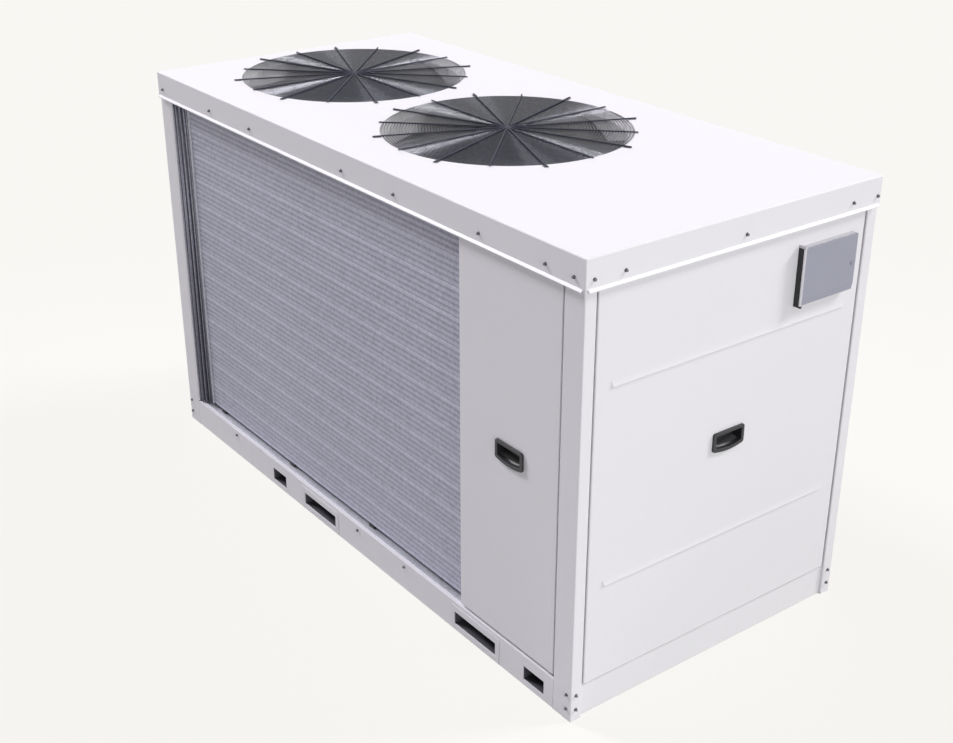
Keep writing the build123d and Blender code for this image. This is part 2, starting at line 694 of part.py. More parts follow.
def save(shape, node):
    """Write one piece in its own file, moved so that the origin is under the middle."""
    export_step(Pos(BODY_SHIFT, 0, 0) * shape, f"parts/{node}.step")


def main():
    os.makedirs("parts", exist_ok=True)

    sides = {"front": lambda shape: shape, "rear": mirror_y}
    front_handle = on_front(FRONT_HANDLE_X, HANDLE_CENTRE_Z).location * pull_handle()
    long_side_pieces = {
        "base_rail": long_rail(),
        "panel": front_panel(),
        "handle": front_handle,
        "coil": coil_block(),
        "coil_end_plates": coil_end_plates(),
        "coil_pads": coil_pads(),
        "coil_baffle": coil_baffle(),
    }
    for side, place in sides.items():
        for name, shape in long_side_pieces.items():
            save(place(shape), f"{side}_{name}")

    for side, sign_x in (("right", 1), ("left", -1)):
        save(end_rail(sign_x), f"{side}_end_rail")
        save(end_panel(sign_x), f"{side}_end_panel")
        plane = on_end(sign_x, END_HANDLE_OFF_MIDDLE, HANDLE_CENTRE_Z)
        save(plane.location * pull_handle(), f"{side}_end_handle")
        for depth, sign_y in (("front", -1), ("rear", 1)):
            save(corner_post(sign_x, sign_y), f"corner_post_{depth}_{side}")

    for side, x in zip(("left", "right"), fork_centres()):
        save(fork_pocket(x), f"fork_pocket_{side}")
    for side, x in zip(("left", "right"), lift_centres()):
        save(lifting_tube(x), f"lifting_tube_{side}")

    save(base_tray(), "base_tray")
    save(roof_cap(), "roof_cap")
    save(bulkhead(), "bulkhead")
    save(controller_box(), "controller_box")
    save(controller_keypad(), "controller_keypad")
    save(controller_cover(), "controller_cover")

    fan_pieces = {
        "fan_ring": fan_ring(),
        "fan_guard": fan_guard(),
        "fan_rotor": fan_rotor(),
        "fan_motor": fan_motor(),
        "motor_bracket": motor_bracket(),
    }
    for side, x in FAN_CENTRES_X.items():
        for name, shape in fan_pieces.items():
            save(Pos(x, 0, 0) * shape, f"{name}_{side}")


main()
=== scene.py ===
"""Air source heat pump: paint, coils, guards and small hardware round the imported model."""

from math import pi, radians

import bmesh
import bpy
from mathutils import Matrix, Vector


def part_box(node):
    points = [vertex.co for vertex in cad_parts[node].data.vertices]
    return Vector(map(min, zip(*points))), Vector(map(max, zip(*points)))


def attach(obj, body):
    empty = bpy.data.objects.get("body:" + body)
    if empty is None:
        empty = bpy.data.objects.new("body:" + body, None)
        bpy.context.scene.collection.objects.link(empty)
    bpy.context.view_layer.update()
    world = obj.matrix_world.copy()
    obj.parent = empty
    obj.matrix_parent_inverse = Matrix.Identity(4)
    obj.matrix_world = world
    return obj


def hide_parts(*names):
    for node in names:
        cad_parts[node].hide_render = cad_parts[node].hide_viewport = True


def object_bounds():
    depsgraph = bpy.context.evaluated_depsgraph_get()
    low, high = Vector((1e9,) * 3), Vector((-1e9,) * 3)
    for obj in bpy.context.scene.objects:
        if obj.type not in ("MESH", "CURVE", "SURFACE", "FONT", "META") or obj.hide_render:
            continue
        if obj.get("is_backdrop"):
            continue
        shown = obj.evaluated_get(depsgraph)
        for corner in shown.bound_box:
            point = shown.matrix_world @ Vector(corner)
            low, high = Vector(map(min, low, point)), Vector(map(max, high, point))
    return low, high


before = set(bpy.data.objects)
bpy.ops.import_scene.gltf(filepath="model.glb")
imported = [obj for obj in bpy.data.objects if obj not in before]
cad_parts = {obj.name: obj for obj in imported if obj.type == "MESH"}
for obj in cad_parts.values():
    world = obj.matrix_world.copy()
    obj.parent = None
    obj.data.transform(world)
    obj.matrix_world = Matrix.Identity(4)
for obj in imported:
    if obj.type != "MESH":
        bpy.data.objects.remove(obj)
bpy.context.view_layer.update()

MM = 0.001

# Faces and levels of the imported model, and sizes that its pieces have
ROOF_LOW, ROOF_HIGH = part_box("roof_cap")
POST_LOW, POST_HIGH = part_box("corner_post_front_right")
LEFT_POST_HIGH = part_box("corner_post_front_left")[1]
REAR_POST_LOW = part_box("corner_post_rear_left")[0]
RAIL_LOW, RAIL_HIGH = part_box("front_base_rail")
COIL_LOW, COIL_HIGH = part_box("front_coil")
COVER_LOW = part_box("controller_cover")[0]
BOX_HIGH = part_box("controller_box")[1]
KEYPAD_LOW, KEYPAD_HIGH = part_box("controller_keypad")
KEYPAD_MIDDLE = (KEYPAD_LOW + KEYPAD_HIGH) / 2
MIDDLE_X = (REAR_POST_LOW.x + POST_HIGH.x) / 2
DRIP_LIP = 7 * MM
SKIRT_Y = ROOF_LOW.y + DRIP_LIP
SKIRT_X = ROOF_LOW.x + DRIP_LIP
# Width of the painted highlight along the controller cover's hinge
BARREL_HIGHLIGHT = 4.6 * MM
HINGE_EAR = 6.3 * MM
SLEEVE_MOUTH = 2 * MM

# Rounded folds and edges of the CAD pieces
WELD = 0.02 * MM
FLAT_ANGLE = radians(0.5)
SHARP_ANGLE = radians(30)
EDGE_TRIM = 0.5 * MM
FOLD_FACE = 8 * MM
FOLD_LENGTH = 60 * MM
FOLD_SEGMENTS = 3
COVER_FOLD = 1.5 * MM
BLADE_FOLD = 2.0 * MM
FLATS_WEIGHT = 100

# Paint and wire
DUST_TOP = 160 * MM
WIRE_SHEEN = (0.80, 0.84, 1.0, 1.0)

# Coil
TUBE_ROWS = 69
TUBE_PITCH = (COIL_HIGH.z - COIL_LOW.z) / TUBE_ROWS
FIN_RIPPLE = 1.7 * MM
FIN_PITCH = 4.2 * MM
FACES_PER_ROW = 4
ROWS_PER_LINE = 5.0
LINE_START = 0.88
BEND_TUBE = 9.5 * MM
BEND_COLUMNS = 3
BEND_STRETCH = 2.4
BEND_SPACING = 22 * MM
BEND_STEPS = 9

# Header and feeder pipes beside each coil: how far from the post, how far behind its face,
# and how thick, in millimetres
PIPES = (
    (6, 8, 6), (15, 17, 10), (24, 9, 5), (10, 30, 12), (26, 27, 12), (20, 44, 16), (36, 20, 6),
    (40, 48, 19), (46, 32, 8), (60, 54, 16), (58, 36, 7), (72, 40, 9), (80, 60, 12), (82, 34, 5),
)
PIPE_HEIGHT = 1362 * MM
PIPE_SIDES = 14

# Fan guards
GUARD_RINGS = 41
GUARD_INNER_RING = 22 * MM
GUARD_OUTER_RING = 422 * MM
GUARD_RING_WIRE = 3.2 * MM
GUARD_ROD_WIRE = 5.2 * MM
GUARD_RODS = 16
GUARD_LONG_REACH = 458 * MM
GUARD_SHORT_REACH = 438 * MM
GUARD_BOLT_RADIUS = 447 * MM
GUARD_BOLT = 3.5 * MM
GUARD_FOOT = (24 * MM, 15 * MM, 1.8 * MM)
GUARD_RING_STEPS = 80
RING_WIRE_SIDES = 5
WIRE_SIDES = 8

# Screws, and where they sit along each face from the cabinet's middle, in millimetres
SCREW_SIZE = 5.8 * MM
SCREW_SEED = 3
HEXAGON = 6
WASHER_SIDES = 20
SKIRT_SCREWS_LONG = (-1224, -837, -535, 74, 373, 805, 1102, 1220)
SKIRT_SCREWS_END = (-562, -452, 7, 465, 576)
SKIRT_SCREW_Z = 1437 * MM
RAIL_SCREWS = (-838, 74, 372)
RAIL_SCREW_Z = 91 * MM
FOOT_SCREW_HEIGHTS = (40 * MM, 92 * MM)
FOOT_SCREW_IN = 20 * MM

# Controller's plate, with keys below its middle and a display above it
OFF_MIDDLE = 26 * MM
KEYS_ACROSS = 3
KEYS_UP = 2
KEY_SPACING = 26 * MM
KEY_RADIUS = 8 * MM
KEY_DEPTH = 4 * MM
KEY_SIDES = 24
DISPLAY_SIZE = (2.5 * MM, 104 * MM, 40 * MM)
DISPLAY_CORNER = 5 * MM
DISPLAY_CORNER_STEPS = 5
DISPLAY_BEZEL = 2.5 * MM
DISPLAY_RECESS = 0.8 * MM
FACING = 0.9


class Value:
    """A socket in a node tree, on which sums are written; each sum adds a Math node."""

    def __init__(self, tree, socket=None):
        self.tree = tree
        self.socket = socket

    def node(self, kind, settings=None, inputs=None, output=0):
        """Adds any node: its settings first, then the values or links of its sockets."""
        made = self.tree.nodes.new(kind)
        for key, setting in (settings or {}).items():
            setattr(made, key, setting)
        for key, given in (inputs or {}).items():
            for value in given if isinstance(given, list) else [given]:
                if isinstance(value, Value):
                    self.tree.links.new(value.socket, made.inputs[key])
                else:
                    made.inputs[key].default_value = value
        return Value(self.tree, made.outputs[output] if made.outputs else None)

    def math(self, operation, *operands):
        """Adds a Math node on its operands."""
        return self.node("ShaderNodeMath", {"operation": operation}, dict(enumerate(operands)))

    def __add__(self, other):
        return self.math("ADD", self, other)

    __radd__ = __add__

    def __mul__(self, other):
        return self.math("MULTIPLY", self, other)

    __rmul__ = __mul__

    def __sub__(self, other):
        return self.math("SUBTRACT", self, other)

    def __rsub__(self, other):
        return self.math("SUBTRACT", other, self)

    def __truediv__(self, other):
        return self.math("DIVIDE", self, other)

    def __rtruediv__(self, other):
        return self.math("DIVIDE", other, self)

    def __mod__(self, other):
        return self.math("MODULO", self, other)

    def __gt__(self, other):
        return self.math("GREATER_THAN", self, other)

    def __lt__(self, other):
        return self.math("LESS_THAN", self, other)


def xyz(values, x=0.0, y=0.0, z=0.0):
    """A vector made of three values or links."""
    return values.node("ShaderNodeCombineXYZ", inputs={0: x, 1: y, 2: z})


# Finishes


def start_material(name):
    """A new material, its tree as a Value and its Principled shader."""
    material = bpy.data.materials.new(name)
    material.use_nodes = True
    tree = material.node_tree
    return material, Value(tree), tree.nodes["Principled BSDF"]


def feed(values, shader, sockets):
    """Sets or links the named sockets of a shader."""
    for name, value in sockets.items():
        if isinstance(value, Value):
            values.tree.links.new(value.socket, shader.inputs[name])
        else:
            shader.inputs[name].default_value = value


def place_on_object(values):
    """The Object coordinates of the piece."""
    return values.node("ShaderNodeTexCoord", output="Object")


def noise(values, scale, detail=2.0):
    """Cloud noise from 0 to 1 on Object coordinates."""
    sockets = {"Vector": place_on_object(values), "Scale": scale, "Detail": detail}
    return values.node("ShaderNodeTexNoise", inputs=sockets)


def tint(values, share, first, second):
    """A colour between two tones or two coloured links, by share."""
    tones = [tone if isinstance(tone, Value) else (*tone, 1) for tone in (first, second)]
    sockets = {0: share, 6: tones[0], 7: tones[1]}
    return values.node("ShaderNodeMix", {"data_type": "RGBA"}, sockets, output=2)


def bump(values, height, strength, distance):
    """A normal bumped by a height."""
    sockets = {"Height": height, "Strength": strength, "Distance": distance}
    return values.node("ShaderNodeBump", inputs=sockets)


def axis_of(values, axis):
    """One Object coordinate, in metres."""
    return values.node("ShaderNodeSeparateXYZ", inputs={0: place_on_object(values)}, output=axis)


def powder_coat():
    """Off-white satin powder coat with a fine orange-peel skin and a little dust low down."""
    material, values, shader = start_material("powder_coat")
    clouds = noise(values, scale=1.4, detail=3.0)
    specks = noise(values, scale=60.0, detail=4.0)
    low = values.node(
        "ShaderNodeMapRange",
        inputs={
            "Value": axis_of(values, "Z"),
            "From Min": 0.0,
            "From Max": DUST_TOP,
            "To Min": 1.0,
            "To Max": 0.0,
        },
    )
    dust = low * specks * 0.35
    tone = clouds * 0.5 + specks * 0.25 + dust
    peel = noise(values, scale=620.0, detail=1.0)
    feed(
        values,
        shader,
        {
            "Base Color": tint(values, tone, (0.806, 0.794, 0.822), (0.770, 0.757, 0.784)),
            "Roughness": clouds * 0.08 + specks * 0.06 + 0.38,
            "Normal": bump(values, peel, strength=0.12, distance=0.4 * MM),
        },
    )
    return material


def moulded(name, dark, light, roughness, grain=900.0):
    """Moulded plastic with a fine spark-eroded grain."""
    material, values, shader = start_material(name)
    clouds = noise(values, scale=9.0, detail=3.0)
    sparks = noise(values, scale=grain)
    feed(
        values,
        shader,
        {
            "Base Color": tint(values, clouds * 0.7 + sparks * 0.3, dark, light),
            "Roughness": sparks * 0.14 + roughness,
            "Normal": bump(values, sparks, strength=0.25, distance=0.3 * MM),
        },
    )
    return material


def fin_stock():
    """Aluminium fins on edge: upright slits, a lighter line along every fifth tube row, and
    painted shade: valleys between tube rows and gaps between fins are darker.
    """
    material, values, shader = start_material("fin_stock")
    along = axis_of(values, "X")
    height = axis_of(values, "Z")
    # Upright stripes at the fin pitch: they bump the face and paint shade into the gaps between
    # fins.
    slit = values.math("PINGPONG", along / (FIN_PITCH / 2), 1.0)
    row = (height - COIL_LOW.z) / TUBE_PITCH
    # Painted shade: each tube row is darker in its valley and lighter on its crest, as the ripple
    # would be lit.
    ripple_shade = values.math("PINGPONG", row * 2.0, 1.0)
    fifth = values.math("FRACT", row / ROWS_PER_LINE)
    lines = fifth > LINE_START
    ripple_shade_and_lines = ripple_shade * (1 - lines) + lines * 0.95
    clouds = noise(values, scale=3.0, detail=4.0)
    dents = noise(values, scale=85.0)
    tone = ripple_shade_and_lines * 0.46 + slit * 0.09 + clouds * 0.10 + dents * 0.7 - 0.17
    feed(
        values,
        shader,
        {
            "Base Color": tint(values, tone, (0.20, 0.20, 0.27), (0.60, 0.60, 0.71)),
            "Roughness": dents * 0.2 + 0.42,
            "Metallic": 0.25,
            "Normal": bump(values, slit, strength=0.5, distance=0.8 * MM),
        },
    )
    return material


def zinc(name, dark, light, roughness):
    """Zinc coated steel with a faint spangle."""
    material, values, shader = start_material(name)
    spangle = values.node(
        "ShaderNodeTexVoronoi", inputs={"Vector": place_on_object(values), "Scale": 95.0}
    )
    clouds = noise(values, scale=14.0, detail=4.0)
    feed(
        values,
        shader,
        {
            "Base Color": tint(values, spangle * 0.9 + clouds * 0.3, dark, light),
            "Roughness": clouds * 0.2 + roughness,
            "Metallic": 0.7,
        },
    )
    return material


def coated_wire(name, dark, light, roughness, gloss):
    """Black coated wire, a little greyer where dust lies on it."""
    material, values, shader = start_material(name)
    clouds = noise(values, scale=30.0, detail=3.0)
    skin = noise(values, scale=700.0)
    feed(
        values,
        shader,
        {
            "Base Color": tint(values, clouds, dark, light),
            "Roughness": clouds * 0.12 + roughness,
            "Specular IOR Level": gloss,
            "Specular Tint": WIRE_SHEEN,
            "Coat Weight": gloss,
            "Normal": bump(values, skin, strength=0.1, distance=0.3 * MM),
        },
    )
    return material


def rough_casting():
    """Dark painted casting of the fan motors."""
    material, values, shader = start_material("rough_casting")
    sand = noise(values, scale=260.0, detail=4.0)
    feed(
        values,
        shader,
        {
            "Base Color": tint(values, sand, (0.07, 0.07, 0.08), (0.13, 0.13, 0.15)),
            "Roughness": sand * 0.2 + 0.5,
            "Normal": bump(values, sand, strength=0.35, distance=0.8 * MM),
        },
    )
    return material


def two_tone(name, first, second, share, roughness):
    """Moulded or painted finish in two tones, with a share that says where the second is."""
    material, values, shader = start_material(name)
    sparks = noise(values, scale=700.0)
    clouds = noise(values, scale=9.0, detail=3.0)
    worn = clouds * 0.6 + sparks * 0.4
    near = tint(values, worn, first, [0.93 * part for part in first])
    far = tint(values, worn, second, [0.93 * part for part in second])
    feed(
        values,
        shader,
        {
            "Base Color": tint(values, share(values), near, far),
            "Roughness": sparks * 0.12 + roughness,
            "Normal": bump(values, sparks, strength=0.2, distance=0.3 * MM),
        },
    )
    return material


def beyond(axis, place):
    """The share that is 1 where a coordinate is past a place."""
    return lambda values: axis_of(values, axis) > place


def inside_rails(values):
    """The share that is 1 between the two long rails' webs."""
    depth = values.math("ABSOLUTE", axis_of(values, "Y"))
    return depth < (-RAIL_LOW.y - SLEEVE_MOUTH)


PAINTED = (0.79, 0.778, 0.806)
# Near-black painted shade for the insides of the fork sleeves and lifting tubes
POCKET_SHADE = (0.085, 0.085, 0.098)
# Paint darkened as a painted shade for the controller box's top
LID_PAINTED_SHADE = (0.60, 0.59, 0.62)
SHELL_BLACK = (0.009, 0.009, 0.011)
LEAF_GREY = (0.325, 0.330, 0.400)

PAINT = powder_coat()
BLACK = moulded("black_moulding", (0.012, 0.012, 0.015), (0.026, 0.026, 0.031), 0.34)
GREY = moulded("grey_moulding", (0.335, 0.340, 0.410), (0.375, 0.380, 0.450), 0.34)
KEY_PLATE = moulded("key_moulding", (0.55, 0.55, 0.58), (0.62, 0.62, 0.65), 0.45)
SCREEN = moulded("display_window", (0.10, 0.13, 0.11), (0.12, 0.15, 0.13), 0.12, 300.0)
RUBBER = moulded("black_rubber", (0.010, 0.010, 0.011), (0.022, 0.022, 0.024), 0.7, 400.0)
BLADES = moulded("blade_moulding", (0.040, 0.041, 0.048), (0.060, 0.061, 0.070), 0.38, 500.0)
FINS = fin_stock()
SHEET = zinc("galvanised_sheet", (0.42, 0.43, 0.47), (0.60, 0.61, 0.65), 0.38)
TUBES = zinc("coil_tubes", (0.18, 0.18, 0.225), (0.33, 0.33, 0.40), 0.45)
# Zinc for screws and guard feet, darkened as a painted shade: the dark heads stand in for the
# screws' cast shadows.
SHADE_DARKENED_ZINC = zinc("screw_zinc", (0.11, 0.11, 0.125), (0.20, 0.20, 0.22), 0.30)
RING_WIRE = coated_wire("ring_wire", (0.009, 0.011, 0.019), (0.018, 0.021, 0.035), 0.20, 1.0)
ROD_WIRE = coated_wire("rod_wire", (0.040, 0.042, 0.060), (0.060, 0.063, 0.086), 0.60, 0.1)
CASTING = rough_casting()
# The box is black; its top band takes a grey darker than the paint, a painted shade that keeps
# the lit top at the panel's tone.
BOX_SHELL = two_tone(
    "controller_shell", SHELL_BLACK, LID_PAINTED_SHADE, beyond("Z", BOX_HIGH.z - HINGE_EAR - MM), 0.34
)
# The strip along the cover's hinge takes the white paint, a painted highlight of its rounded
# edge; the rest of the leaf is grey.
COVER_LEAF = two_tone(
    "controller_leaf", PAINTED, LEAF_GREY, beyond("Y", COVER_LOW.y + BARREL_HIGHLIGHT), 0.30
)
# Inside the rails the fork sleeves take a near-black tone, a painted shade of their insides.
SLEEVES = two_tone("fork_sleeve", PAINTED, POCKET_SHADE, inside_rails, 0.42)


# CAD pieces, with their folds and edges rounded


def edge_widths(edge):
    """How wide the two faces beside an edge are, square to it."""
    return [face.calc_area() / edge.calc_length() for face in edge.link_faces]


def rounded_copy(node, fold):
    """A copy of a CAD node whose long folds have a bend radius and other edges a small one."""
    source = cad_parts[node]
    work = bmesh.new()
    work.from_mesh(source.data)
    bmesh.ops.remove_doubles(work, verts=work.verts, dist=WELD)
    bmesh.ops.dissolve_limit(work, angle_limit=FLAT_ANGLE, verts=work.verts, edges=work.edges)
    weights = work.edges.layers.float.new("bevel_weight_edge")
    for edge in work.edges:
        if len(edge.link_faces) != 2 or edge.calc_length() <= 0:
            continue
        if edge.calc_face_angle(0) < SHARP_ANGLE:
            continue
        widths = edge_widths(edge)
        if not edge.is_convex or min(widths) < 3 * EDGE_TRIM:
            continue
        is_fold = min(widths) > FOLD_FACE and edge.calc_length() > FOLD_LENGTH
        edge[weights] = 1.0 if is_fold else EDGE_TRIM / fold
    mesh = bpy.data.meshes.new(f"{node}_rounded")
    work.to_mesh(mesh)
    work.free()
    mesh.shade_smooth()
    mesh.set_sharp_from_angle(angle=SHARP_ANGLE)
    piece = bpy.data.objects.new(f"{node}_rounded", mesh)
    bpy.context.scene.collection.objects.link(piece)
    bevel = piece.modifiers.new("folds", "BEVEL")
    bevel.limit_method = "WEIGHT"
    bevel.width = fold
    bevel.segments = FOLD_SEGMENTS
    bevel.use_clamp_overlap = False
    weighted = piece.modifiers.new("flats", "WEIGHTED_NORMAL")
    weighted.keep_sharp = True
    weighted.weight = FLATS_WEIGHT
    return piece


def stand_in(piece, body, material, slot, *nodes):
    """Gives a piece its finish, puts it on its body, and hides the nodes it stands for."""
    piece.data.materials.clear()
    piece.data.materials.append(material)
    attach(piece, body)
    if nodes:
        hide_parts(*nodes)


SIDES = ("left", "right")
DEPTHS = ("front", "rear")
POSTS = [f"corner_post_{depth}_{side}" for depth in DEPTHS for side in SIDES]
PANELS = ["front_panel", "rear_panel", "left_end_panel", "right_end_panel"]
RAILS = ["front_base_rail", "rear_base_rail", "left_end_rail", "right_end_rail"]
POCKETS = [f"fork_pocket_{side}" for side in SIDES]
HANDLES = ["front_handle", "rear_handle", "left_end_handle", "right_end_handle"]
RINGS = [f"fan_ring_{side}" for side in SIDES]
MOTORS = [f"fan_motor_{side}" for side in SIDES]
ROTORS = [f"fan_rotor_{side}" for side in SIDES]

# Nodes, their bend radius in millimetres, finish and slot
ROUNDED = (
    (["roof_cap"], 4.0, PAINT, "white_paint"),
    (POSTS, 3.5, PAINT, "white_paint"),
    (PANELS, 3.0, PAINT, "white_paint"),
    (RAILS, 3.5, PAINT, "white_paint"),
    (POCKETS, 1.0, SLEEVES, "white_paint"),
    (RINGS, 1.0, PAINT, "white_paint"),
    (HANDLES, 2.0, BLACK, "black_plastic"),
    (["controller_box"], 1.0, BOX_SHELL, "black_plastic"),
    (MOTORS, 2.0, CASTING, "motor_grey"),
)
for nodes, fold, material, slot in ROUNDED:
    for node in nodes:
        stand_in(rounded_copy(node, fold * MM), "cabinet", material, slot, node)

cover = rounded_copy("controller_cover", COVER_FOLD)
stand_in(cover, "controller_cover", COVER_LEAF, "grey_plastic", "controller_cover")
for node in ROTORS:
    stand_in(rounded_copy(node, BLADE_FOLD), node, BLADES, "fan_plastic", node)

PLAIN = {
    # The lifting tubes take the sleeves' painted shade inside the rails.
    SLEEVES: ["lifting_tube_left", "lifting_tube_right"],
    SHEET: ["base_tray", "bulkhead"]
    + [f"{depth}_coil_baffle" for depth in DEPTHS]
    + [f"{depth}_coil_end_plates" for depth in DEPTHS]
    + [f"motor_bracket_{side}" for side in SIDES],
    RUBBER: [f"{depth}_coil_pads" for depth in DEPTHS],
    KEY_PLATE: ["controller_keypad"],
}
for material, nodes in PLAIN.items():
    for node in nodes:
        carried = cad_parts[node].data
        carried.materials.clear()
        carried.materials.append(material)


# What repeats, by Geometry Nodes


class Recipe:
    """A Geometry Nodes tree with named inputs, baked to a plain mesh for each use."""

    def __init__(self, name, sizes):
        self.tree = bpy.data.node_groups.new(name, "GeometryNodeTree")
        self.values = Value(self.tree)
        sockets = self.tree.interface
        sockets.new_socket("Geometry", in_out="INPUT", socket_type="NodeSocketGeometry")
        for label, value in sizes.items():
            kind = "NodeSocketInt" if isinstance(value, int) else "NodeSocketFloat"
            sockets.new_socket(label, in_out="INPUT", socket_type=kind).default_value = value
        sockets.new_socket("Geometry", in_out="OUTPUT", socket_type="NodeSocketGeometry")
        self.group = self.tree.nodes.new("NodeGroupInput")

    def take(self, label):
        """A named input of the tree."""
        return Value(self.tree, self.group.outputs[label])

    def finish(self, geometry, material, smooth=True):
        """Ends the tree in Realize Instances and Set Material."""
        real = self.values.node("GeometryNodeRealizeInstances", inputs={"Geometry": geometry})
        shade = self.values.node(
            "GeometryNodeSetShadeSmooth", inputs={"Geometry": real, "Shade Smooth": smooth}
        )
        dressed = self.values.node(
            "GeometryNodeSetMaterial", inputs={"Geometry": shade, "Material": material}
        )
        self.values.node("NodeGroupOutput", inputs={0: dressed})
        return self

    def bake(self, name, start=None, at=(0, 0, 0), **sizes):
        """Runs the tree once and returns the result as a plain mesh object."""
        carrier = bpy.data.objects.new(name, start or bpy.data.meshes.new(name))
        bpy.context.scene.collection.objects.link(carrier)
        modifier = carrier.modifiers.new("recipe", "NODES")
        modifier.node_group = self.tree
        for item in self.tree.interface.items_tree:
            label = item.name.lower().replace(" ", "_")
            if item.in_out == "INPUT" and label in sizes:
                modifier[item.identifier] = sizes[label]
        bpy.context.view_layer.update()
        depsgraph = bpy.context.evaluated_depsgraph_get()
        mesh = bpy.data.meshes.new_from_object(carrier.evaluated_get(depsgraph))
        carrier.modifiers.remove(modifier)
        mesh.transform(Matrix.Translation(at))
        carrier.data = mesh
        return carrier


def join(values, *parts):
    """Several parts as one."""
    return values.node("GeometryNodeJoinGeometry", inputs={0: list(parts)})


def shifted(values, part, offset, turn=(0, 0, 0)):
    """A part turned and moved by an offset."""
    sockets = {"Geometry": part, "Translation": offset, "Rotation": turn}
    return values.node("GeometryNodeTransform", inputs=sockets)


def wire_along(values, curve, radius, sides):
    """Sweeps a round wire along a curve."""
    profile = values.node(
        "GeometryNodeCurvePrimitiveCircle", inputs={"Resolution": sides, "Radius": radius}
    )
    sockets = {"Curve": curve, "Profile Curve": profile, "Fill Caps": True}
    return values.node("GeometryNodeCurveToMesh", inputs=sockets)


def cylinder(values, sides, radius, depth, offset):
    """A short cylinder whose foot stands at the offset."""
    made = values.node(
        "GeometryNodeMeshCylinder",
        inputs={"Vertices": sides, "Radius": radius, "Depth": depth},
    )
    x, y, z = offset
    return shifted(values, made, (x, y, z + depth / 2))


def hex_screw(values, size):
    """A hexagon screw on its washer, standing on the origin, in shares of the washer's radius."""
    washer_depth = 0.18 * size
    head_depth = 0.9 * size
    head_radius = 0.74 * size
    crown_radius = 0.55 * size
    crown_depth = 0.1 * size
    washer = cylinder(values, WASHER_SIDES, size, washer_depth, (0, 0, 0))
    head = cylinder(values, HEXAGON, head_radius, head_depth, (0, 0, washer_depth))
    cone = values.node(
        "GeometryNodeMeshCone",
        inputs={
            "Vertices": HEXAGON,
            "Radius Top": crown_radius,
            "Radius Bottom": head_radius,
            "Depth": crown_depth,
        },
    )
    crown = shifted(values, cone, (0, 0, washer_depth + head_depth))
    return join(values, washer, head, crown)


def guard_rings():
    """Concentric wire rings, evenly spaced."""
    recipe = Recipe(
        "guard_rings",
        {
            "Rings": GUARD_RINGS,
            "Inner Ring": GUARD_INNER_RING,
            "Outer Ring": GUARD_OUTER_RING,
            "Ring Wire": GUARD_RING_WIRE,
        },
    )
    values = recipe.values
    index = values.node("GeometryNodeInputIndex")
    rings = recipe.take("Rings")
    step = (recipe.take("Outer Ring") - recipe.take("Inner Ring")) / (rings - 1)
    radius = recipe.take("Inner Ring") + step * index
    centres = values.node("GeometryNodePoints", inputs={"Count": rings})
    circle = values.node(
        "GeometryNodeCurvePrimitiveCircle", inputs={"Resolution": GUARD_RING_STEPS, "Radius": 1.0}
    )
    circles = values.node(
        "GeometryNodeInstanceOnPoints",
        inputs={"Points": centres, "Instance": circle, "Scale": xyz(values, radius, radius, 1.0)},
    )
    loops = values.node("GeometryNodeRealizeInstances", inputs={"Geometry": circles})
    wires = wire_along(values, loops, recipe.take("Ring Wire") / 2, RING_WIRE_SIDES)
    return recipe.finish(wires, RING_WIRE)


def guard_rods():
    """Rods in two lengths that meet in the middle."""
    recipe = Recipe(
        "guard_rods",
        {
            "Rods": GUARD_RODS,
            "Long Reach": GUARD_LONG_REACH,
            "Short Reach": GUARD_SHORT_REACH,
            "Rod Wire": GUARD_ROD_WIRE,
        },
    )
    values = recipe.values
    index = values.node("GeometryNodeInputIndex")
    rods = recipe.take("Rods")
    odd = index % 2
    reach = recipe.take("Short Reach") + odd * (
        recipe.take("Long Reach") - recipe.take("Short Reach")
    )
    line = values.node("GeometryNodeCurvePrimitiveLine", inputs={"End": (1, 0, 0)})
    spokes = values.node(
        "GeometryNodeInstanceOnPoints",
        inputs={
            "Points": values.node("GeometryNodePoints", inputs={"Count": rods}),
            "Instance": line,
            "Scale": xyz(values, reach, 1.0, 1.0),
            "Rotation": xyz(values, 0.0, 0.0, index * (2 * pi) / rods),
        },
    )
    spokes = values.node("GeometryNodeRealizeInstances", inputs={"Geometry": spokes})
    wires = wire_along(values, spokes, recipe.take("Rod Wire") / 2, WIRE_SIDES)
    return recipe.finish(wires, ROD_WIRE)


def guard_feet():
    """The flattened foot at the end of each long rod, with a bolt through it."""
    recipe = Recipe("guard_feet", {"Feet": GUARD_RODS // 2, "Bolt Radius": GUARD_BOLT_RADIUS})
    values = recipe.values
    index = values.node("GeometryNodeInputIndex")
    turn = (index * 2.0 + 1.0) * (2 * pi / GUARD_RODS)
    radius = recipe.take("Bolt Radius")
    spot = xyz(
        values,
        radius * values.math("COSINE", turn),
        radius * values.math("SINE", turn),
    )
    spots = values.node(
        "GeometryNodePoints", inputs={"Count": recipe.take("Feet"), "Position": spot}
    )
    length, width, depth = GUARD_FOOT
    plate = values.node("GeometryNodeMeshCube", inputs={"Size": (length, width, depth)})
    plate = shifted(values, plate, (-length / 2 + width / 2, 0, depth / 2))
    bolt = shifted(values, hex_screw(values, GUARD_BOLT), (0, 0, depth))
    feet = values.node(
        "GeometryNodeInstanceOnPoints",
        inputs={
            "Points": spots,
            "Instance": join(values, plate, bolt),
            "Rotation": xyz(values, 0.0, 0.0, turn),
        },
    )
    return recipe.finish(feet, SHADE_DARKENED_ZINC, smooth=False)


